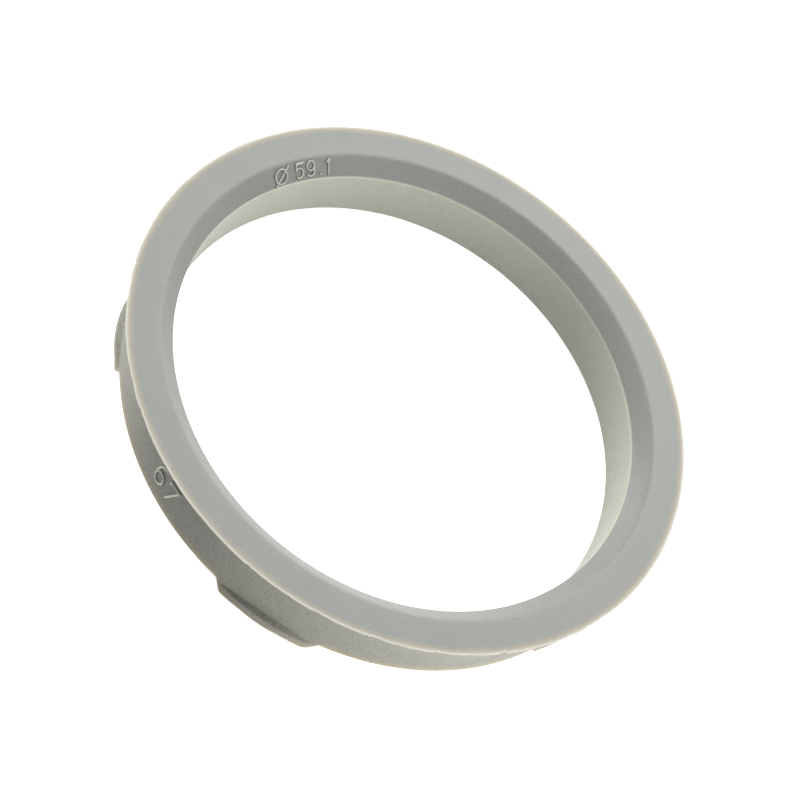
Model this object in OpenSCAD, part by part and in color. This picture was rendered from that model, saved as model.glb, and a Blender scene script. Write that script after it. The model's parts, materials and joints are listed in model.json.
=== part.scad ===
// Hub centric ring, moulded in one piece.
// The ring stands on the tips of its lugs with the collar on top, and its axis is Z.
// Heights are measured from the lug tips, and the first lug lies on the -Y axis.

/* [Fit] */
// Diameter of the spigot, which fills the centre bore of the wheel
spigot_d = 67.1; // [57:0.1:115]
// Wall between the spigot and the bore, which makes up the difference between wheel and hub
wall = 4; // [3:0.05:10]

/* [Collar] */
// Distance that the collar stands out beyond the spigot
collar_reach = 2.25; // [1:0.05:4.5]
// Thickness of the collar at its outer edge
collar_edge = 0.1; // [0.05:0.05:0.6]
// Angle of the collar's tapered back, measured from the front face
collar_back_angle = 45; // [30:1:55]

/* [Body] */
// Height of the ring body, from the front face to the rear face between the lugs
body_h = 9.5; // [8:0.1:14]
// Width of the lead-in bevel across the front face
bevel_w = 1.95; // [0.5:0.05:2.2]
// Depth of the lead-in bevel along the bore
bevel_depth = 1.85; // [0.5:0.05:3]
// Chamfer at the rear end of the bore
bore_chamfer = 0.7; // [0.2:0.05:1.1]
// Radius of the outer rear edge of the body
rear_radius = 0.25; // [0.1:0.05:0.5]

/* [Lugs] */
// Number of snap lugs, spread evenly round the rear end
lug_count = 5; // [3:1:8]
// Distance that a lug stands out behind the rear face
lug_reach = 1.7; // [1:0.1:2.5]
// Length of a lug round the ring, at its root
lug_root_length = 13.8; // [11:0.1:16]
// Slope of the lug's two ends, measured from the axis
lug_end_angle = 35; // [15:1:45]
// Radius of the lug's rear corners
lug_corner_radius = 0.9; // [0.3:0.1:1.2]
// Thickness of the lug's wall, inwards from the spigot surface
lug_wall = 1.8; // [1.2:0.1:2.5]
// Flare of the lug's outer wall at its tip
lug_flare = 0.1; // [0.05:0.05:0.3]

/* [Catch] */
// Height of the catch above the spigot surface, at the middle of the lug
catch_h = 0.75; // [0.4:0.05:1]
// Length of the catch round the ring, where it fades into the spigot surface
catch_length = 13; // [8:0.5:13.5]
// Distance from the rear face forward to the gripping edge, at the middle of the catch
catch_lead = 0.6; // [0.3:0.1:1.5]
// Length of the flat crest of the catch, along the axis
catch_land = 1.4; // [0.8:0.1:1.6]
// Height of the catch above the lug's wall at its tip, where the lead-in ramp ends
catch_toe = 0.1; // [0.05:0.05:0.2]
// Radius of the arch that the front edge of the catch follows
catch_arch_radius = 26; // [20:1:60]

/* [Hidden] */
$fn = 180;
// Overlap of solids that are joined, and overshoot of cuts
lap = 0.5;
spigot_r = spigot_d / 2;
// The bore slips over the hub
bore_r = spigot_r - wall;
collar_r = spigot_r + collar_reach;
total_h = body_h + lug_reach;
// Height at which the tapered back of the collar meets the spigot
collar_root_z = total_h - collar_edge - collar_reach * tan(collar_back_angle);
// Height of the gripping edge, and of the crest's rear end
catch_z = lug_reach + catch_lead;
land_z = catch_z - catch_land;
// The catch is turned about an axis of its own, nearer to the wall than the ring's axis.
// Its arc leaves the spigot surface at half the catch length to each side.
half_catch = catch_length / 2;
spigot_sagitta = spigot_r - sqrt(pow(spigot_r, 2) - pow(half_catch, 2));
catch_sagitta = spigot_sagitta + catch_h;
catch_r = (pow(half_catch, 2) + pow(catch_sagitta, 2)) / (2 * catch_sagitta);
catch_axis = spigot_r + catch_h - catch_r;
lug_inner_r = spigot_r - lug_wall;
// Height at which the flare of the lugs runs out, a little above the rear edge's radius
flare_h = lug_reach + 2 * rear_radius;
half_root = lug_root_length / 2;
half_tip = half_root - lug_reach * tan(lug_end_angle);
// Distance from a sharp rear corner of the lug to where its radius begins
corner_run = lug_corner_radius * tan((90 - lug_end_angle) / 2);

// Half section of the ring body, with x as the radius and y as the height
module body_section() {
    difference() {
        polygon([
            [bore_r + bore_chamfer, lug_reach],
            [spigot_r, lug_reach],
            [spigot_r, collar_root_z],
            [collar_r, total_h - collar_edge],
            [collar_r, total_h],
            [bore_r + bevel_w, total_h],
            [bore_r, total_h - bevel_depth],
            [bore_r, lug_reach + bore_chamfer]
        ]);
        translate([spigot_r - rear_radius, lug_reach + rear_radius])
            rotate(-90)
                corner_cut(rear_radius, 90);
    }
}

// Waste outside a corner radius whose centre is the origin.
// The radius begins on the x axis and turns to the left through the given angle.
module corner_cut(radius, turn) {
    reach = radius + lap;
    difference() {
        polygon([
            [0, 0],
            [reach, 0],
            [reach, reach * tan(turn / 2)],
            [reach * cos(turn), reach * sin(turn)]
        ]);
        circle(r = radius);
    }
}

// Outline of a lug as seen from outside, with x round the ring and y as the height
module lug_outline() {
    difference() {
        polygon([
            [-half_tip, 0],
            [half_tip, 0],
            [half_root, lug_reach],
            [half_root, catch_z + lap],
            [-half_root, catch_z + lap],
            [-half_root, lug_reach]
        ]);
        for (side = [0, 1])
            mirror([side, 0])
                translate([half_tip - corner_run, lug_corner_radius])
                    rotate(-90)
                        corner_cut(lug_corner_radius, 90 - lug_end_angle);
    }
}

// Catch turned about its own axis, with a lead-in ramp behind its crest and an arched front edge
module catch() {
    difference() {
        intersection() {
            translate([catch_axis, 0, 0])
                rotate_extrude()
                    polygon([
                        [0, 0],
                        [catch_r - catch_h + lug_flare + catch_toe, 0],
                        [catch_r, land_z],
                        [catch_r, catch_z + lap],
                        [0, catch_z + lap]
                    ]);
            translate([0, 0, catch_z - catch_arch_radius])
                rotate([0, 90, 0])
                    cylinder(r = catch_arch_radius, h = collar_r);
        }
        // Leaves the catch only half a wall deep, so that it ends inside the lug
        translate([0, 0, -lap])
            cylinder(r = spigot_r - lug_wall / 2, h = total_h);
    }
}

// Wall of the lugs, which carries the spigot wall on to the rear and flares towards its tip
module lug_wall_ring() {
    rotate_extrude()
        polygon([
            [lug_inner_r, 0],
            [spigot_r + lug_flare, 0],
            [spigot_r - lug_flare * lap / flare_h, flare_h + lap],
            [lug_inner_r, flare_h + lap]
        ]);
}

// One snap lug, on the +X side
module lug() {
    intersection() {
        union() {
            lug_wall_ring();
            catch();
        }
        rotate([90, 0, 90])
            linear_extrude(height = collar_r)
                lug_outline();
    }
}

module ring() {
    color([0.66, 0.68, 0.65])
        union() {
            rotate_extrude() body_section();
            for (k = [0 : lug_count - 1])
                rotate([0, 0, k * 360 / lug_count - 90])
                    lug();
        }
}

ring();
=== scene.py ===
"""Hub centric ring in moulded plastic, dressed on its frame and lit for a product picture."""

import json
import math

import bpy
import numpy as np
from bpy.props import FloatProperty, FloatVectorProperty, IntProperty, PointerProperty
from mathutils import Matrix, Vector


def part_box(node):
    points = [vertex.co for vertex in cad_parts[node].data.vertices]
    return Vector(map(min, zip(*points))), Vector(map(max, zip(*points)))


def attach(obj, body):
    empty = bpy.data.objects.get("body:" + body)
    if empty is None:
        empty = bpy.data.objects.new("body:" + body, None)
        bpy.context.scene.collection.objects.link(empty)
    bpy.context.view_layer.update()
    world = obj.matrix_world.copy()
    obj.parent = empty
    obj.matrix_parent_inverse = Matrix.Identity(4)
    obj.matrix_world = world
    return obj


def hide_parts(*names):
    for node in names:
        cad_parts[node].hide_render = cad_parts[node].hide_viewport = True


bl_info = {
    "name": "Hub Centric Ring",
    "version": (1, 0, 0),
    "blender": (4, 5, 0),
    "location": "3D View > Sidebar > Ring",
    "description": "Makes a moulded hub centric ring with snap lugs and raised size numbers",
    "category": "Add Mesh",
}

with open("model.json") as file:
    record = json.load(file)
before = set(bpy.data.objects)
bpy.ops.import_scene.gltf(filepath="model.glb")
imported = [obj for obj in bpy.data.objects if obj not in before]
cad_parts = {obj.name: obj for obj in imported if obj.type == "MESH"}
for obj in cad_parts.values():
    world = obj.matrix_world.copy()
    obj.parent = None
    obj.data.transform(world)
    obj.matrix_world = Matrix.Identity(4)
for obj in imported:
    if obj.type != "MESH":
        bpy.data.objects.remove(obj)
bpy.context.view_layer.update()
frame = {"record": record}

MM = 0.001
MOUNTS = {mount["name"]: mount for mount in frame["record"]["mounts"]}
BORE_RADIUS = MOUNTS["hub_bore"]["dims"]["r_mm"] * MM
SPIGOT_RADIUS = MOUNTS["wheel_seat"]["dims"]["r_mm"] * MM
COLLAR_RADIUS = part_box("ring")[1].x
TOTAL_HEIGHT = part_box("ring")[1].z


def length(name, description, millimetres):
    """A length property, kept in metres."""
    return FloatProperty(
        name=name,
        description=description,
        default=millimetres * MM,
        min=0.0,
        precision=5,
        unit="LENGTH",
        subtype="DISTANCE",
    )


def angle(name, description, degrees):
    """An angle property, kept in radians."""
    return FloatProperty(
        name=name,
        description=description,
        default=math.radians(degrees),
        unit="ROTATION",
        subtype="ANGLE",
    )


def number(name, description, default):
    """A plain number without a unit."""
    return FloatProperty(name=name, description=description, default=default, precision=3)


def share(name, description, default):
    """A share from 0 to 1."""
    return FloatProperty(
        name=name, description=description, default=default, min=0, max=1, subtype="FACTOR"
    )


def linear(level):
    """Linear light of a display level from 0 to 255."""
    share_of_white = level / 255
    if share_of_white <= 0.04045:
        return share_of_white / 12.92
    return ((share_of_white + 0.055) / 1.055) ** 2.4


def colour(name, description, red, green, blue):
    """A colour property, given by its three display levels from 0 to 255."""
    return FloatVectorProperty(
        name=name,
        description=description,
        default=(linear(red), linear(green), linear(blue)),
        min=0,
        max=1,
        subtype="COLOR",
    )


class RingSizes(bpy.types.PropertyGroup):
    """Sizes of the moulded ring"""

    bore_radius: length("Bore Radius", "Radius of the bore", BORE_RADIUS / MM)
    spigot_radius: length("Spigot Radius", "Radius of the straight outer wall", SPIGOT_RADIUS / MM)
    collar_radius: length("Collar Radius", "Radius of the collar's thin edge", COLLAR_RADIUS / MM)
    height: length("Height", "Height over collar and lugs", TOTAL_HEIGHT / MM)
    collar_edge: length("Collar Edge", "Thickness of the collar at its edge", 0.1)
    collar_angle: angle("Collar Angle", "Slope of the collar's back", 45)
    bevel_width: length("Bevel Width", "Width of the bevel across the face", 1.95)
    bevel_depth: length("Bevel Depth", "Depth of the bevel along the bore", 1.85)
    chamfer: length("Rear Chamfer", "Chamfer at the rear end of the bore", 0.7)
    rear_radius: length("Rear Radius", "Radius of the outer rear edge", 0.25)
    rear_glow: length("Rear Glow", "Height to which light shows through at the rear edge", 1.6)
    flash: length("Flash", "Depth of the torn places along the collar's edge", 0.25)
    edge_line: length("Edge Line", "Width of the palest line along the torn edge", 0.3)
    worn_angle: angle("Worn Side", "Direction in which the collar's edge is torn most", -110)
    chip_angle: angle("Chip Place", "Direction of the large chip in the collar's edge", -46.3)
    chip_length: length("Chip Length", "Length of the large chip round the ring", 1.7)
    chip_depth: length("Chip Depth", "Depth of the large chip", 0.28)


class LugSizes(bpy.types.PropertyGroup):
    """Sizes of the snap lugs and their catches"""

    count: IntProperty(name="Lugs", description="Number of snap lugs", default=5, min=1)
    first_angle: angle("First Lug", "Direction of the first lug", -90)
    reach: length("Reach", "Distance that a lug stands out behind the rear face", 1.7)
    root_length: length("Root Length", "Length of a lug round the ring", 13.8)
    end_angle: angle("End Angle", "Slope of the lug's ends from the axis", 35)
    corner_radius: length("Corner Radius", "Radius of the lug's rear corners", 0.9)
    wall: length("Wall", "Thickness of the lug's wall", 1.8)
    flare: length("Flare", "Flare of the lug's wall at its tip", 0.1)
    catch_height: length("Catch Height", "Height of the catch in the middle", 0.75)
    catch_length: length("Catch Length", "Length of the catch round the ring", 13)
    catch_lead: length("Catch Lead", "Distance from the rear face to the gripping edge", 0.6)
    catch_land: length("Catch Land", "Length of the catch's crest along the axis", 1.4)
    catch_toe: length("Catch Toe", "Height of the catch above the wall at the tip", 0.1)
    arch_radius: length("Arch Radius", "Radius of the gripping edge's arch", 26)


class NumberSizes(bpy.types.PropertyGroup):
    """Sizes and places of the raised numbers"""

    bevel_angle: angle("Bevel Place", "Direction of the number on the bevel", 141)
    bevel_relief: length("Bevel Relief", "Height of the strokes on the bevel", 0.26)
    bevel_stroke: length("Bevel Stroke", "Width of the strokes' foot on the bevel", 0.44)
    wall_angle: angle("Wall Place", "Direction of the number on the outer wall", -121.3)
    wall_foot: length("Wall Foot", "Height of the number's foot on the wall", 3.95)
    wall_relief: length("Wall Relief", "Height of the strokes on the wall", 0.24)
    wall_stroke: length("Wall Stroke", "Width of the strokes' foot on the wall", 0.54)


class Finish(bpy.types.PropertyGroup):
    """Colours and surface of the plastic"""

    face: colour("Face", "Colour of the front face", 167, 169, 164)
    bevel: colour("Bevel", "Colour of the smoother bevel", 145, 148, 142)
    bore: colour("Bore", "Colour of the bore", 195, 196, 184)
    wall: colour("Outer Wall", "Colour of the outer wall", 166, 166, 157)
    # Thin Collar, Thin Edge and Torn Edge are painted light that shows through the thin collar
    warm: colour("Thin Collar", "Colour where light begins to show through", 187, 182, 166)
    edge: colour("Thin Edge", "Colour of the collar's thin edge", 214, 212, 199)
    torn: colour("Torn Edge", "Colour of the palest line along the torn edge", 226, 224, 213)
    # Painted light showing through at the thin rear edge
    rear: colour("Rear Edge", "Colour where light shows through at the rear edge", 212, 199, 163)
    # Painted highlights on the tops of the raised strokes
    raised: colour("Bevel Strokes", "Colour of the rubbed number on the bevel", 195, 195, 185)
    wall_stroke_highlight: colour("Wall Strokes", "Colour of the rubbed number on the wall", 230, 230, 217)
    # Painted shade at the foot of the raised strokes, added to their real shading
    painted_foot_shade: share("Foot Shade", "Darkening at the foot of the raised strokes", 0.55)
    # Painted light showing through the thin lug tips
    tip: colour("Lug Tips", "Colour of the thin lug tips", 179, 172, 157)
    roughness: share("Roughness", "Roughness of the moulded grain", 0.62)
    bevel_roughness: share("Bevel Roughness", "Roughness of the smoother bevel", 0.42)
    edge_width: length("Edge Width", "Width of the pale band along the collar's edge", 1.05)
    grain: length("Grain", "Size of the moulded grain", 0.22)
    grain_depth: length("Grain Depth", "Depth of the moulded grain", 0.012)
    # Painted shade along the catch's gripping edge, added to the real shading under the collar
    painted_grip_shade: share("Grip Shade", "Darkening towards the catch's gripping edge", 0.42)
    grip_width: length("Grip Shade Width", "Width of the darker strip on the catch", 0.5)
    speckle: share("Speckle", "Strength of the fine speckle", 0.42)
    wall_speckle: number("Wall Speckle", "How much stronger the outer wall is speckled", 1.4)
    clouding: share("Clouding", "Strength of the soft cloudy variation", 0.035)
    cloud_size: length("Cloud Size", "Size of the soft cloudy variation", 4)
    # Painted highlights on the face and bore where their edges meet the bevel
    face_highlight: share("Face Lip", "Brightening of the face towards the bevel", 0.03)
    bore_highlight: share("Bore Lip", "Brightening of the bore towards the bevel", 0.16)


class Stage(bpy.types.PropertyGroup):
    """Camera, lamps and floor"""

    azimuth: angle("Azimuth", "Direction from the ring to the camera", -96.2)
    elevation: angle("Elevation", "Height of the camera above the ring's plane", 50.84)
    roll: angle("Roll", "Clockwise turn of the picture", 38.915)
    distance: length("Distance", "Distance from the camera to the ring's front face", 279.99)
    aim_right: length("Aim Right", "Place of the ring right of the picture's middle", 1.983)
    aim_up: length("Aim Up", "Place of the ring above the picture's middle", 2.818)
    lens: number("Lens", "Focal length in millimetres on a 36 mm sensor", 106.97)
    far_lamp: number("Far Lamp", "Power of the low lamp behind the ring, in watts", 0.67)
    back_lamp: number("Back Lamp", "Power of the low lamp behind and to the left, in watts", 2.4)
    right_lamp: number("Right Lamp", "Power of the low lamp on the right, in watts", 0.81)
    high_lamp: number("High Lamp", "Power of the high lamp behind the ring, in watts", 0.28)
    left_lamp: number("Left Lamp", "Power of the high lamp on the left, in watts", 1.16)
    ambient: number("Ambient", "Strength of the surrounding light", 0.04)
    floor: share("Floor", "Paleness of the floor", 0.8)
    glow: share("Glow", "White that the camera sees on the floor besides the lamps' light", 0.88)


def smoothstep(values, low, high):
    """Share from 0 below low to 1 above high, with flat ends: 3t^2 - 2t^3."""
    t = np.clip((values - low) / (high - low), 0, 1)
    return t * t * (3 - 2 * t)


def smooth_least(a, b, blend):
    """The lesser of two arrays, rounded where they lie within blend of each other."""
    t = np.clip(0.5 + 0.5 * (b - a) / blend, 0, 1)
    return b + (a - b) * t - blend * t * (1 - t)


def waves(angles, counts, seed):
    """Sum of sine waves round the ring with the given whole numbers of periods, from -1 to 1."""
    random = np.random.default_rng(seed)
    phases = random.uniform(0, 2 * math.pi, len(counts))
    weights = random.uniform(0.5, 1, len(counts))
    counts = np.array(counts)
    terms = np.sin(angles[:, None] * counts + phases) * weights
    return terms.sum(axis=1) / weights.sum()


def torn_depth(angles, seed):
    """Depth of the torn places along the edge at each angle, from 0 to 1.

    The edge breaks off at random angles. Behind each break the depth starts at a random value,
    more often shallow than deep, and heals in a straight line up to the next break, where a fifth
    of it is left."""
    count = 180
    shallowness = 1.8
    random = np.random.default_rng(seed)
    breaks = np.sort(random.uniform(0, 2 * math.pi, count))
    depths = random.uniform(0, 1, count) ** shallowness
    turn = np.mod(angles, 2 * math.pi)
    last = np.searchsorted(breaks, turn) - 1
    gap = np.mod(breaks[(last + 1) % count] - breaks[last], 2 * math.pi)
    healed = np.mod(turn - breaks[last], 2 * math.pi) / gap
    return depths[last] * (1 - 0.8 * healed)


def edge_radius(angles, sizes):
    """Distance of the collar's torn edge from the ring's axis at each angle.

    The tears are deepest on the worn side and vary in broad waves. The large chip starts at its
    angle at full depth and runs out in a straight line over its length, clockwise."""
    worn = 0.6 + 0.4 * np.cos(angles - sizes.worn_angle)
    broad = 0.5 + 0.5 * waves(angles, (3, 5, 8, 13, 21), 4)
    torn = worn * (0.15 * broad + (0.35 + 0.5 * broad) * torn_depth(angles, 7))
    along = np.mod(sizes.chip_angle - angles, 2 * math.pi) * sizes.collar_radius
    chip = sizes.chip_depth * np.clip(1 - along / sizes.chip_length, 0, 1)
    return sizes.collar_radius - np.maximum(sizes.flash * torn, chip)


def ring_angles(sizes, lugs):
    """Angles of the grid lines round the ring, dense over the sloped ends of each lug.

    One sector runs from half way before a lug to half way after it. Its lines lie evenly in
    x = R sin(angle) over the lug's middle and over its ends, and evenly in the angle beyond them.
    Also returns each line's angle from the middle of its own lug."""
    middle_lines, end_lines, far_lines = 15, 26, 88
    half_sector = math.pi / lugs.count
    root = lugs.root_length / 2
    inner = root - 2.2 * MM
    outer = root + 0.5 * MM
    middle = np.linspace(0, inner, middle_lines, endpoint=False)
    ends = np.linspace(inner, outer, end_lines, endpoint=False)
    near = np.arcsin(np.concatenate([middle, ends]) / sizes.spigot_radius)
    far = np.linspace(math.asin(outer / sizes.spigot_radius), half_sector, far_lines)
    half = np.concatenate([near, far])
    sector = np.concatenate([-half[:0:-1], half[:-1]])
    centres = lugs.first_angle + 2 * half_sector * np.arange(lugs.count)
    local = np.tile(sector, lugs.count)
    return (centres[:, None] + sector).ravel(), local


def lug_tip_height(x, lugs):
    """Height of the lug's rear outline above its tip, at the distance x to the side of its middle.

    Flat in the middle, then an arc of the corner radius, then a straight slope at the end angle up
    to the rear face, which it meets in a small hollow."""
    x = np.abs(x)
    slope = math.tan(lugs.end_angle)
    half_tip = lugs.root_length / 2 - lugs.reach * slope
    radius = lugs.corner_radius
    turn = math.pi / 2 - lugs.end_angle
    start = half_tip - radius * math.tan(turn / 2)
    along = np.clip(x - start, 0, radius * math.sin(turn))
    arc = radius - np.sqrt(radius**2 - along**2)
    line = np.maximum((x - half_tip) / slope, 0)
    height = np.where(x - start > radius * math.sin(turn), line, arc)
    hollow = 0.12 * MM
    return smooth_least(height, np.full_like(height, lugs.reach), hollow)


def catch_radius(local, z, sizes, lugs):
    """Distance of the catch's surface from the ring's axis.

    The catch is turned about an axis shifted outwards by c. Its own radius is r(z): constant along
    the crest and straight down the ramp to the toe at z = 0. Seen from the ring's axis at the angle
    a it lies at c cos(a) + sqrt(r^2 - c^2 sin^2(a))."""
    half = lugs.catch_length / 2
    sagitta = sizes.spigot_radius - math.sqrt(sizes.spigot_radius**2 - half**2)
    sagitta += lugs.catch_height
    crest = (half**2 + sagitta**2) / (2 * sagitta)
    shift = sizes.spigot_radius + lugs.catch_height - crest
    toe = crest - lugs.catch_height + lugs.flare + lugs.catch_toe
    land = lugs.reach + lugs.catch_lead - lugs.catch_land
    radius = toe + (crest - toe) * np.clip(z / land, 0, 1)
    inside = np.maximum(radius**2 - (shift * np.sin(local)) ** 2, 0)
    return shift * np.cos(local) + np.sqrt(inside)


# Places of two of the section's corners: a catch's gripping edge, and the wall in front of it
GRIP_CORNER, WALL_CORNER = 7, 8


def ring_corners(angles, local, sizes, lugs):
    """Corners of the ring's section at each angle, with their rounding and their fills.

    Returns the corners in the shape (corner, angle, 2), with radius and height in the last place,
    the radius that rounds each of them in the shape (corner, angle), and the number of points on
    the straight span after each. They run down the bore, across the rear, up the outer wall and
    over the face. Between lugs the corners of a lug lie on the plain rear face and wall."""
    top = sizes.height
    rear = lugs.reach
    bore, spigot, collar = sizes.bore_radius, sizes.spigot_radius, sizes.collar_radius
    side = spigot * np.sin(local)
    root = lugs.root_length / 2
    on_lug = 1 - smoothstep(np.abs(side), root - 0.15 * MM, root + 0.1 * MM)
    flare_height = rear + 2 * sizes.rear_radius
    draft = 0.05 * MM
    lug_inner = spigot - lugs.wall
    inner_tip = lug_tip_height((lug_inner + draft) * np.sin(local), lugs)
    outer_tip = lug_tip_height((spigot + lugs.flare) * np.sin(local), lugs)

    def wall_radius(z):
        return spigot + on_lug * lugs.flare * np.clip(1 - z / flare_height, 0, 1)

    def outer_radius(z):
        return np.maximum(wall_radius(z), catch_radius(local, z, sizes, lugs))

    step = 0.06 * MM
    clear = step + 0.4 * MM * smoothstep(np.abs(side), root - 1.4 * MM, root)
    land = np.maximum(rear + lugs.catch_lead - lugs.catch_land, outer_tip + clear)
    arch = rear + lugs.catch_lead - lugs.arch_radius
    arch = arch + np.sqrt(lugs.arch_radius**2 - np.minimum(np.abs(side), root) ** 2)
    grip = np.maximum(arch, land + step)
    collar_root = top - sizes.collar_edge - (collar - spigot) * math.tan(sizes.collar_angle)
    edge = edge_radius(angles, sizes)
    tip_round = 0.12 * MM * on_lug + sizes.rear_radius * (1 - on_lug)
    corners = [
        (bore, top - sizes.bevel_depth, 0.2 * MM, 2),
        (bore, rear + sizes.chamfer, 0.12 * MM, 1),
        (bore + sizes.chamfer, rear, 0.1 * MM, 1),
        (lug_inner - draft, rear, 0.12 * MM, 1),
        (lug_inner + draft, inner_tip, 0.12 * MM, 2),
        (outer_radius(outer_tip), outer_tip, tip_round, 2),
        (outer_radius(land), land, 0.3 * MM, 2),
        (outer_radius(grip), grip, 0.1 * MM, 1),
        (wall_radius(grip + step), grip + step, 0.12 * MM, 2),
        (spigot, collar_root, 0.15 * MM, 2),
        (edge - 0.02 * MM, top - sizes.collar_edge, 0.02 * MM, 0),
        (edge, top - 0.5 * sizes.collar_edge, 0.02 * MM, 0),
        (edge - 0.03 * MM, top, 0.02 * MM, 3),
        (bore + sizes.bevel_width, top, 0.7 * MM, 2),
    ]
    plain = np.ones_like(angles)
    radii, heights, rounding = (
        np.array([corner[place] * plain for corner in corners]) for place in range(3)
    )
    return np.stack([radii, heights], axis=-1), rounding, [corner[3] for corner in corners]


def rounded_section(corners, rounding, fills):
    """Closed section with its corners rounded and its straight spans filled.

    Each corner P is replaced by the quadratic curve (1-t)^2 A + 2t(1-t) P + t^2 B, where A and B
    lie on its two sides at the length where an arc of the rounding radius would touch them, but
    no further than 0.45 of a side. Each span then gets its number of inner points."""
    before = np.roll(corners, 1, axis=0) - corners
    after = np.roll(corners, -1, axis=0) - corners
    span_before = np.linalg.norm(before, axis=2)
    span_after = np.linalg.norm(after, axis=2)
    before = before / span_before[..., None]
    after = after / span_after[..., None]
    cosine = np.clip((before * after).sum(axis=2), -0.9999, 0.9999)
    touch = rounding * np.sqrt((1 + cosine) / (1 - cosine))
    touch = np.minimum(touch, 0.45 * np.minimum(span_before, span_after))[..., None]
    starts = corners + before * touch
    ends = corners + after * touch
    curve = np.linspace(0, 1, 4)
    rows = []
    for index, fill in enumerate(fills):
        for t in curve:
            bend = (1 - t) ** 2 * starts[index] + 2 * t * (1 - t) * corners[index]
            rows.append(bend + t**2 * ends[index])
        target = starts[(index + 1) % len(fills)]
        for t in span_shares(fill):
            rows.append(ends[index] + (target - ends[index]) * t)
    return np.array(rows)


def span_shares(count):
    """Shares along a straight span, evenly spread. Where there are more than two, the first and
    last are drawn to the ends."""
    shares = np.linspace(0, 1, count + 2)[1:-1]
    if count > 2:
        shares[0] *= 0.3
        shares[-1] = 1 - shares[0]
    return shares


def grid_faces(rows, columns, close_rows, close_columns):
    """Four-sided faces of a grid of points, facing along (row direction) x (column direction)."""
    row = np.arange(rows if close_rows else rows - 1)
    column = np.arange(columns if close_columns else columns - 1)
    i, j = np.meshgrid(row, column, indexing="ij")
    next_i, next_j = (i + 1) % rows, (j + 1) % columns
    corners = [(i, j), (next_i, j), (next_i, next_j), (i, next_j)]
    return np.stack([(a * columns + b).ravel() for a, b in corners], axis=1)


def mesh_piece(name, points, faces):
    """A smooth-shaded mesh object at the origin, whose points already lie in their place."""
    mesh = bpy.data.meshes.new(name)
    mesh.vertices.add(len(points))
    mesh.vertices.foreach_set("co", points.astype(np.float32).ravel())
    mesh.loops.add(faces.size)
    mesh.loops.foreach_set("vertex_index", faces.astype(np.int32).ravel())
    mesh.polygons.add(len(faces))
    mesh.polygons.foreach_set("loop_start", np.arange(len(faces), dtype=np.int32) * 4)
    mesh.polygons.foreach_set("use_smooth", np.ones(len(faces), dtype=bool))
    mesh.update(calc_edges=True)
    if mesh.validate():
        raise RuntimeError(f"{name}: the mesh has faulty faces")
    piece = bpy.data.objects.new(name, mesh)
    bpy.context.scene.collection.objects.link(piece)
    return piece


def point_value(piece, name, values):
    """Stores one number for each point of a piece, for its material."""
    stored = piece.data.attributes.new(name, "FLOAT", "POINT")
    stored.data.foreach_set("value", values.astype(np.float32).ravel())


def carry(piece, material):
    """Gives a finished piece its material, its slot and the body that it rides on."""
    piece.data.materials.append(material)
    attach(piece, "root")


STROKE_POINTS = 48


def arc(centre, radii, start, end):
    """Points on an ellipse about centre, from one angle to another in degrees."""
    turn = np.radians(np.linspace(start, end, STROKE_POINTS))
    x = centre[0] + radii[0] * np.cos(turn)
    y = centre[1] + radii[1] * np.sin(turn)
    return np.stack([x, y], axis=1)


def line(start, end):
    """Points on a straight stroke."""
    shares = np.linspace(0, 1, STROKE_POINTS)[:, None]
    return np.array(start) * (1 - shares) + np.array(end) * shares


def bevel_strokes():
    """Strokes of the diameter sign and 59.1, in millimetres along and up the bevel's slope."""
    foot, top = 0.44, 2.32
    strokes = [
        arc((-5.25, 1.22), (0.9, 0.92), 0, 360),
        line((-6.15, 0.12), (-4.08, 2.3)),
        line((-2.9, top - 0.04), (-2.0, top)),
        line((-2.8, top - 0.16), (-2.05, top - 0.12)),
        line((-2.9, top - 0.04), (-2.95, 1.45)),
        arc((-2.52, foot + 0.6), (0.54, 0.6), 138, -128),
        arc((-0.84, top - 0.6), (0.52, 0.6), 0, 360),
        line((-0.32, top - 0.6), (-0.32, foot + 0.5)),
        arc((-0.84, foot + 0.5), (0.52, 0.5), 0, -150),
        line((0.58, foot + 0.1), (0.62, foot + 0.1)),
        line((1.4, 1.9), (1.74, top)),
        line((1.74, top), (1.9, top - 0.12)),
        line((1.74, top), (1.74, foot)),
    ]
    return np.concatenate(strokes) * MM


def wall_strokes():
    """Strokes of 67, in millimetres along the wall and up from the number's foot."""
    top = 3.1
    strokes = [
        arc((-1.1, 1.18), (0.76, 0.92), 0, 360),
        arc((-0.62, 1.5), (1.24, 1.95), 186, 78),
        line((0.62, 2.7), (0.66, top)),
        line((0.66, top), (2.28, top)),
        line((2.28, top), (0.98, 0.2)),
    ]
    return np.concatenate(strokes) * MM


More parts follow.
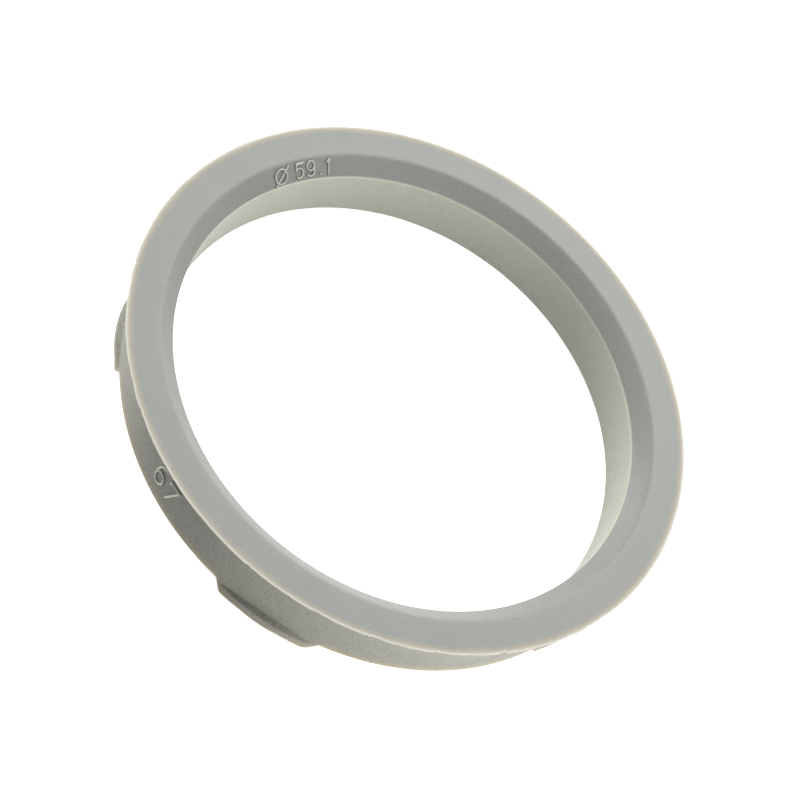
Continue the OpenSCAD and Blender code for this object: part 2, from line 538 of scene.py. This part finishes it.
def raised_strokes(name, strokes, stroke, relief, place):
    """A piece with ridges along the strokes, raised from a surface.

    The height over a flat grid (u, v) is the full relief up to d = 0.1 stroke and falls to zero
    at d = 0.5 stroke as a smooth step, where d is the distance to the nearest stroke's line. The
    rim is sunk a little below the surface. Only cells near a stroke are kept, and
    place(u, v, height) lays the grid on the surface."""
    margin = 0.08 * MM
    cell = 0.035 * MM
    sink = 0.03 * MM
    depth = 0.1 * MM
    batches = 24
    low = strokes.min(axis=0) - stroke / 2 - margin
    high = strokes.max(axis=0) + stroke / 2 + margin
    u = np.arange(low[0], high[0], cell)
    v = np.arange(low[1], high[1], cell)
    grid = np.stack(np.meshgrid(u, v, indexing="ij"), axis=-1).reshape(-1, 2)
    distance = np.full(len(grid), np.inf)
    for group in np.array_split(strokes, batches):
        apart = np.linalg.norm(grid[:, None] - group[None], axis=2)
        distance = np.minimum(distance, apart.min(axis=1))
    ridge = 1 - smoothstep(distance, 0.1 * stroke, 0.5 * stroke)
    height = relief * ridge - sink
    faces = grid_faces(len(u), len(v), False, False)
    faces = faces[(distance[faces] < stroke / 2 + margin / 2).all(axis=1)]
    used, faces = np.unique(faces, return_inverse=True)
    points = place(grid[used, 0], grid[used, 1], height[used])
    piece = mesh_piece(name, points, faces.reshape(-1, 4))
    point_value(piece, "raised", ridge[used])
    body = piece.modifiers.new("Foot", "SOLIDIFY")
    body.thickness = depth
    body.offset = -1
    return piece


def node(tree, kind, inputs=None, **settings):
    """Adds a node, sets its properties, and links or sets its inputs by name or place."""
    made = tree.nodes.new(kind)
    for key, value in settings.items():
        setattr(made, key, value)
    for key, value in (inputs or {}).items():
        if isinstance(value, bpy.types.NodeSocket):
            tree.links.new(value, made.inputs[key])
        else:
            made.inputs[key].default_value = value
    return made


def empty_tree(owner):
    """The node tree of a material or a world, without its usual nodes."""
    owner.use_nodes = True
    owner.node_tree.nodes.clear()
    return owner.node_tree


def maths(tree, operation, *values):
    """Result of one arithmetic step on one, two or three values."""
    return node(tree, "ShaderNodeMath", dict(enumerate(values)), operation=operation).outputs[0]


def product(tree, first, *others):
    """Product of two or more values."""
    for other in others:
        first = maths(tree, "MULTIPLY", first, other)
    return first


def total(tree, first, *others):
    """Sum of two or more values."""
    for other in others:
        first = maths(tree, "ADD", first, other)
    return first


def one_minus(tree, value):
    """1 minus the value."""
    return maths(tree, "SUBTRACT", 1.0, value)


def about_zero(tree, noise_value, strength):
    """Noise about 0.5, shifted to lie about zero and scaled."""
    return product(tree, maths(tree, "SUBTRACT", noise_value, 0.5), strength)


def stored(tree, name):
    """One of the numbers that point_value stores for each point."""
    return node(tree, "ShaderNodeAttribute", attribute_name=name).outputs["Fac"]


def noise(tree, place, size, detail, roughness):
    """Noise about 0.5 with features of the given size."""
    inputs = {"Vector": place, "Scale": 1 / size, "Detail": detail, "Roughness": roughness}
    return node(tree, "ShaderNodeTexNoise", inputs).outputs["Fac"]


def band(tree, value, low, high):
    """Smooth share from 0 at low to 1 at high."""
    inputs = {"Value": value, "From Min": low, "From Max": high}
    made = node(tree, "ShaderNodeMapRange", inputs, interpolation_type="SMOOTHSTEP")
    return made.outputs["Result"]


def slope(tree, value, low, high):
    """Straight share from 0 at low to 1 at high, also where low is the greater of the two."""
    inputs = {"Value": value, "From Min": low, "From Max": high}
    return node(tree, "ShaderNodeMapRange", inputs).outputs["Result"]


def blend(tree, factor, first, second):
    """Mix of two colours, each of them a socket or a colour setting."""
    made = node(tree, "ShaderNodeMix", {0: factor}, data_type="RGBA")
    # The mix node has sockets for other kinds of value before those for colours
    for place, value in ((6, first), (7, second)):
        if isinstance(value, bpy.types.NodeSocket):
            tree.links.new(value, made.inputs[place])
        else:
            made.inputs[place].default_value = (*value, 1)
    return made.outputs[2]


def ring_zones(tree, place, sizes):
    """Distance from the axis, height, and shares that tell the ring's surfaces apart.

    "outside" is 1 behind the collar and on the outer wall, "deep" below the bevel, and "on_face"
    outside the bevel."""
    parts = node(tree, "ShaderNodeSeparateXYZ", {0: place}).outputs
    squares = [product(tree, parts[k], parts[k]) for k in (0, 1)]
    radius = maths(tree, "SQRT", total(tree, *squares))
    height = parts[2]
    top = sizes.height
    bevel_foot = top - sizes.bevel_depth
    face_inner = sizes.bore_radius + sizes.bevel_width
    soft = 0.12 * MM
    outer = band(tree, radius, sizes.spigot_radius - 0.9 * MM, sizes.spigot_radius - 0.5 * MM)
    below = one_minus(tree, band(tree, height, top - 0.12 * MM, top - 0.02 * MM))
    return {
        "radius": radius,
        "height": height,
        "outside": product(tree, outer, below),
        "deep": one_minus(tree, band(tree, height, bevel_foot - soft, bevel_foot + soft)),
        "on_face": band(tree, radius, face_inner - 2 * soft, face_inner + 2.5 * soft),
    }


def surface_colours(tree, zones, finish):
    """Colours of bevel, face, bore and wall, with the lug tips, rear edge and raised strokes."""
    colours = blend(tree, zones["on_face"], finish.bevel, finish.face)
    colours = blend(tree, zones["deep"], colours, finish.bore)
    colours = blend(tree, zones["outside"], colours, finish.wall)
    # Painted light showing through the thin lug tips
    tips = one_minus(tree, band(tree, zones["height"], 0.9 * MM, 2.1 * MM))
    colours = blend(tree, tips, colours, finish.tip)
    # Painted light showing through at the thin rear edge
    near_rear = slope(tree, stored(tree, "near_rear"), 0.0, 1.0)
    colours = blend(tree, maths(tree, "POWER", near_rear, 2.0), colours, finish.rear)
    # Painted highlights on the tops of the raised strokes
    highlighted = blend(tree, zones["outside"], finish.raised, finish.wall_stroke_highlight)
    return blend(tree, band(tree, stored(tree, "raised"), 0.45, 0.95), colours, highlighted)


def collar_glow_colours(tree, zones, clouds, sizes, finish, colours):
    """The given colours gone warm, pale, then palest: painted light through the collar's thin edge.
    """
    rim, width, top = sizes.collar_radius, finish.edge_width, sizes.height
    thin = band(tree, zones["height"], top - 0.4 * MM, top - 0.1 * MM)
    wavering = total(tree, zones["radius"], about_zero(tree, clouds, 0.4 * MM))
    shares = (
        (slope(tree, wavering, rim - width, rim - 0.45 * width), finish.warm),
        (slope(tree, zones["radius"], rim - 0.5 * width, rim - 0.1 * width), finish.edge),
        (slope(tree, stored(tree, "near_edge"), 0.0, 1.0), finish.torn),
    )
    for share_reached, paler in shares:
        colours = blend(tree, product(tree, share_reached, thin), colours, paler)
    return colours


def surface_tone(tree, zones, grain, clouds, sizes, finish):
    """Colour factor: speckle, clouding, painted edge highlights, painted shade at feet and catches.
    """
    outside, on_face, deep = zones["outside"], zones["on_face"], zones["deep"]
    more = finish.wall_speckle * finish.speckle
    speckle = about_zero(tree, grain, maths(tree, "MULTIPLY_ADD", outside, more, finish.speckle))
    cloudy = about_zero(tree, clouds, 2 * finish.clouding)
    face_inner = sizes.bore_radius + sizes.bevel_width
    # Painted highlight on the face next to the bevel
    face_highlight = slope(tree, zones["radius"], face_inner + 1.5 * MM, face_inner)
    face_highlight = product(tree, face_highlight, on_face, finish.face_highlight)
    bevel_foot = sizes.height - sizes.bevel_depth
    # Painted highlight on the bore next to the bevel
    bore_highlight = band(tree, zones["height"], bevel_foot - 0.6 * MM, bevel_foot - 0.2 * MM)
    bore_highlight = product(tree, bore_highlight, deep, finish.bore_highlight)
    raised = stored(tree, "raised")
    # Painted shade at the foot of the raised strokes, added to their real shading
    foot = maths(tree, "SUBTRACT", band(tree, raised, 0.0, 0.1), band(tree, raised, 0.25, 0.75))
    foot = product(tree, foot, -finish.painted_foot_shade)
    # Painted shade along the catch's gripping edge, added to the real shading under the collar
    grip = slope(tree, stored(tree, "near_grip"), 0.0, 1.0)
    grip = product(tree, grip, -finish.painted_grip_shade)
    return total(tree, 1.0, speckle, cloudy, face_highlight, bore_highlight, foot, grip)


def moulded_plastic(sizes, finish):
    """Grey moulded plastic, with painted light turning it pale and creamy at the collar's thin
    edge.

    The colour follows the distance from the axis and the height: bore, bevel, face and outer wall
    each have their own. Fine noise gives speckle and grain, and broad noise a soft clouding."""
    material = bpy.data.materials.new("Moulded Plastic")
    tree = empty_tree(material)
    place = node(tree, "ShaderNodeTexCoord").outputs["Object"]
    grain = noise(tree, place, finish.grain, 2.0, 0.6)
    clouds = noise(tree, place, finish.cloud_size, 3.0, 0.5)
    zones = ring_zones(tree, place, sizes)
    colours = surface_colours(tree, zones, finish)
    colours = collar_glow_colours(tree, zones, clouds, sizes, finish, colours)
    tone = surface_tone(tree, zones, grain, clouds, sizes, finish)
    toned = node(tree, "ShaderNodeVectorMath", {0: colours, "Scale": tone}, operation="SCALE")
    on_bevel = product(tree, one_minus(tree, zones["on_face"]), one_minus(tree, zones["deep"]))
    smoother = finish.bevel_roughness - finish.roughness
    bump = {"Height": grain, "Strength": 0.6, "Distance": finish.grain_depth}
    surface = {
        "Base Color": toned.outputs[0],
        "Roughness": maths(tree, "MULTIPLY_ADD", on_bevel, smoother, finish.roughness),
        "Normal": node(tree, "ShaderNodeBump", bump).outputs["Normal"],
        "IOR": 1.5,
        "Specular IOR Level": 0.2,
        "Subsurface Weight": 0.15,
        "Subsurface Radius": (1.0, 0.85, 0.6),
        "Subsurface Scale": 0.6 * MM,
    }
    shader = node(tree, "ShaderNodeBsdfPrincipled", surface)
    node(tree, "ShaderNodeOutputMaterial", {"Surface": shader.outputs["BSDF"]})
    return material


def plastic(scene):
    """The one plastic of the whole ring, made when it is first asked for."""
    found = bpy.data.materials.get("Moulded Plastic")
    return found or moulded_plastic(scene.ring_sizes, scene.ring_finish)


def store_places(piece, angles, corners, radius, z, sizes, finish):
    """Stores how near each point lies to the rear edge, the torn edge and a gripping edge.

    Each number is 1 at the edge and falls to 0 and below away from it. The last one only counts
    where the catch stands proud of the wall, and fully so from 0.3 mm."""
    # near_rear places the painted light at the rear edge
    near_rear = 1 - (z - z.min(axis=1)[:, None]) / sizes.rear_glow
    outside = radius > sizes.spigot_radius - 1.5 * sizes.rear_radius
    point_value(piece, "near_rear", np.where(outside, near_rear, 0))
    # near_edge places the palest painted light along the torn edge
    edge = edge_radius(angles, sizes)[:, None]
    point_value(piece, "near_edge", 1 - (edge - radius) / sizes.edge_line)
    # near_grip places the painted shade along a catch's gripping edge
    grip, wall = corners[GRIP_CORNER, :, 1, None], corners[WALL_CORNER, :, 0, None]
    near_grip = np.where(z > grip, -1, 1 - (grip - z) / finish.grip_width)
    proud = np.clip((radius - wall) / (0.3 * MM), 0, 1)
    point_value(piece, "near_grip", near_grip * proud)


class RING_OT_body(bpy.types.Operator):
    """Make the moulded ring with its collar, bevel and snap lugs"""

    bl_idname = "ring.body"
    bl_label = "Moulded Ring"
    bl_options = {"REGISTER", "UNDO"}

    def execute(self, context):
        scene = context.scene
        sizes, lugs = scene.ring_sizes, scene.ring_lugs
        angles, local = ring_angles(sizes, lugs)
        corners, rounding, fills = ring_corners(angles, local, sizes, lugs)
        section = rounded_section(corners, rounding, fills)
        radius, z = section[..., 0].T, section[..., 1].T
        x = radius * np.cos(angles)[:, None]
        y = radius * np.sin(angles)[:, None]
        points = np.stack([x, y, z], axis=-1).reshape(-1, 3)
        faces = grid_faces(len(angles), len(section), True, True)
        piece = mesh_piece("moulded_ring", points, faces)
        store_places(piece, angles, corners, radius, z, sizes, scene.ring_finish)
        carry(piece, plastic(scene))
        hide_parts("ring")
        return {"FINISHED"}


class RING_OT_bevel_number(bpy.types.Operator):
    """Raise the bore's diameter on the bevel"""

    bl_idname = "ring.bevel_number"
    bl_label = "Number on the Bevel"
    bl_options = {"REGISTER", "UNDO"}

    def execute(self, context):
        scene = context.scene
        sizes, numbers = scene.ring_sizes, scene.ring_numbers
        slant = math.hypot(sizes.bevel_width, sizes.bevel_depth)
        across, up = sizes.bevel_width / slant, sizes.bevel_depth / slant
        middle = sizes.bore_radius + sizes.bevel_width / 2

        def place(u, v, height):
            turn = numbers.bevel_angle - u / middle
            radius = sizes.bore_radius + v * across - height * up
            z = sizes.height - sizes.bevel_depth + v * up + height * across
            return np.stack([radius * np.cos(turn), radius * np.sin(turn), z], axis=1)

        piece = raised_strokes(
            "bore_size_number",
            bevel_strokes(),
            numbers.bevel_stroke,
            numbers.bevel_relief,
            place,
        )
        carry(piece, plastic(scene))
        return {"FINISHED"}


class RING_OT_wall_number(bpy.types.Operator):
    """Raise the spigot's diameter on the outer wall"""

    bl_idname = "ring.wall_number"
    bl_label = "Number on the Wall"
    bl_options = {"REGISTER", "UNDO"}

    def execute(self, context):
        scene = context.scene
        sizes, numbers = scene.ring_sizes, scene.ring_numbers

        def place(u, v, height):
            turn = numbers.wall_angle + u / sizes.spigot_radius
            radius = sizes.spigot_radius + height
            z = numbers.wall_foot + v
            return np.stack([radius * np.cos(turn), radius * np.sin(turn), z], axis=1)

        piece = raised_strokes(
            "spigot_size_number",
            wall_strokes(),
            numbers.wall_stroke,
            numbers.wall_relief,
            place,
        )
        carry(piece, plastic(scene))
        return {"FINISHED"}


def facing(position, target):
    """Matrix of an object at position whose -Z axis points at target."""
    turn = (Vector(target) - Vector(position)).to_track_quat("-Z", "Y")
    return Matrix.Translation(position) @ turn.to_matrix().to_4x4()


def around(azimuth, elevation, distance):
    """Point at a distance from the ring, in the given direction."""
    flat = distance * math.cos(elevation)
    return Vector(
        (flat * math.cos(azimuth), flat * math.sin(azimuth), distance * math.sin(elevation))
    )


def area_lamp(name, position, target, size, power):
    """A soft round lamp that points at the target."""
    data = bpy.data.lights.new(name, "AREA")
    data.shape = "DISK"
    data.size = size
    data.energy = power
    lamp = bpy.data.objects.new(name, data)
    lamp.matrix_world = facing(position, target)
    bpy.context.scene.collection.objects.link(lamp)


def seen_directly(tree):
    """1 for rays that show the background: from the camera, mirrored or passed through."""
    path = node(tree, "ShaderNodeLightPath").outputs
    seen = maths(tree, "MAXIMUM", path["Is Camera Ray"], path["Is Glossy Ray"])
    return maths(tree, "MAXIMUM", seen, path["Is Transmission Ray"])


def pale_floor(stage):
    """A wide floor that the camera sees as white, with the ring's soft shadow kept."""
    material = bpy.data.materials.new("Pale Floor")
    tree = empty_tree(material)
    pale = (stage.floor, stage.floor, stage.floor, 1)
    paper = node(tree, "ShaderNodeBsdfDiffuse", {"Color": pale})
    strength = product(tree, seen_directly(tree), stage.glow)
    glow = node(tree, "ShaderNodeEmission", {"Color": (1, 1, 1, 1), "Strength": strength})
    both = node(tree, "ShaderNodeAddShader", {0: paper.outputs[0], 1: glow.outputs[0]})
    node(tree, "ShaderNodeOutputMaterial", {"Surface": both.outputs[0]})
    side, lines = 3.0, 5
    u = np.linspace(-side / 2, side / 2, lines)
    grid = np.stack(np.meshgrid(u, u, [0.0], indexing="ij"), axis=-1).reshape(-1, 3)
    floor = mesh_piece("floor", grid, grid_faces(lines, lines, False, False))
    floor.data.materials.append(material)


def studio_world(stage):
    """White to the camera, in reflections and through the plastic, with a faint even light."""
    world = bpy.data.worlds.new("Studio")
    bpy.context.scene.world = world
    tree = empty_tree(world)
    extra = 1 - stage.ambient
    strength = maths(tree, "MULTIPLY_ADD", seen_directly(tree), extra, stage.ambient)
    light = node(tree, "ShaderNodeBackground", {"Color": (1, 1, 1, 1), "Strength": strength})
    node(tree, "ShaderNodeOutputWorld", {"Surface": light.outputs[0]})


class RING_OT_stage(bpy.types.Operator):
    """Set up the floor, the lamps and the camera"""

    bl_idname = "ring.stage"
    bl_label = "Floor, Lamps and Camera"
    bl_options = {"REGISTER", "UNDO"}

    def execute(self, context):
        scene = context.scene
        stage = scene.ring_stage
        scene.view_settings.view_transform = "Standard"
        pale_floor(stage)
        studio_world(stage)
        centre = Vector((0, 0, scene.ring_sizes.height))
        # Name, azimuth and elevation in degrees, distance in metres, and power
        lamps = [
            ("Far Lamp", 80, 8, 0.3, stage.far_lamp),
            ("Back Lamp", 150, 8, 0.5, stage.back_lamp),
            ("Right Lamp", -30, 8, 0.3, stage.right_lamp),
            ("High Lamp", 50, 60, 0.3, stage.high_lamp),
            ("Left Lamp", 180, 60, 0.5, stage.left_lamp),
        ]
        for name, azimuth, elevation, distance, power in lamps:
            place = around(math.radians(azimuth), math.radians(elevation), distance)
            area_lamp(name, place, centre, distance / 2, power)
        self.add_camera(scene, stage, centre)
        return {"FINISHED"}

    def add_camera(self, scene, stage, centre):
        """A camera turned about its own line of sight, with the ring a little off the middle."""
        towards = -around(stage.azimuth, stage.elevation, 1.0)
        level = towards.cross(Vector((0, 0, 1))).normalized()
        upright = level.cross(towards)
        right = level * math.cos(stage.roll) + upright * math.sin(stage.roll)
        up = upright * math.cos(stage.roll) - level * math.sin(stage.roll)
        data = bpy.data.cameras.new("Camera")
        data.lens = stage.lens
        data.clip_start = 10 * MM
        camera = bpy.data.objects.new("Camera", data)
        place = centre - towards * stage.distance - right * stage.aim_right - up * stage.aim_up
        turn = Matrix((right, up, -towards)).transposed().to_4x4()
        camera.matrix_world = Matrix.Translation(place) @ turn
        scene.collection.objects.link(camera)
        scene.camera = camera


class RING_PT_panel(bpy.types.Panel):
    """Lists what makes the ring and its picture"""

    bl_idname = "RING_PT_panel"
    bl_label = "Hub Centric Ring"
    bl_space_type = "VIEW_3D"
    bl_region_type = "UI"
    bl_category = "Ring"

    def draw(self, context):
        layout = self.layout
        for operator in OPERATORS:
            layout.operator(operator.bl_idname)
        for group in GROUPS:
            box = layout.box()
            box.label(text=GROUPS[group].__doc__)
            for key in GROUPS[group].__annotations__:
                box.prop(getattr(context.scene, group), key)


GROUPS = {
    "ring_sizes": RingSizes,
    "ring_lugs": LugSizes,
    "ring_numbers": NumberSizes,
    "ring_finish": Finish,
    "ring_stage": Stage,
}
OPERATORS = (RING_OT_body, RING_OT_bevel_number, RING_OT_wall_number, RING_OT_stage)


def register():
    """Registers the classes and hangs the settings on the scene."""
    for group in GROUPS.values():
        bpy.utils.register_class(group)
    for operator in OPERATORS:
        bpy.utils.register_class(operator)
    bpy.utils.register_class(RING_PT_panel)
    for name, group in GROUPS.items():
        setattr(bpy.types.Scene, name, PointerProperty(type=group))


def unregister():
    """Takes the settings and the classes away again."""
    for name in GROUPS:
        delattr(bpy.types.Scene, name)
    bpy.utils.unregister_class(RING_PT_panel)
    for operator in reversed(OPERATORS):
        bpy.utils.unregister_class(operator)
    for group in reversed(list(GROUPS.values())):
        bpy.utils.unregister_class(group)


def main():
    """Makes the ring and its stage."""
    register()
    bpy.ops.ring.body()
    bpy.ops.ring.bevel_number()
    bpy.ops.ring.wall_number()
    bpy.ops.ring.stage()


if __name__ == "__main__":
    main()
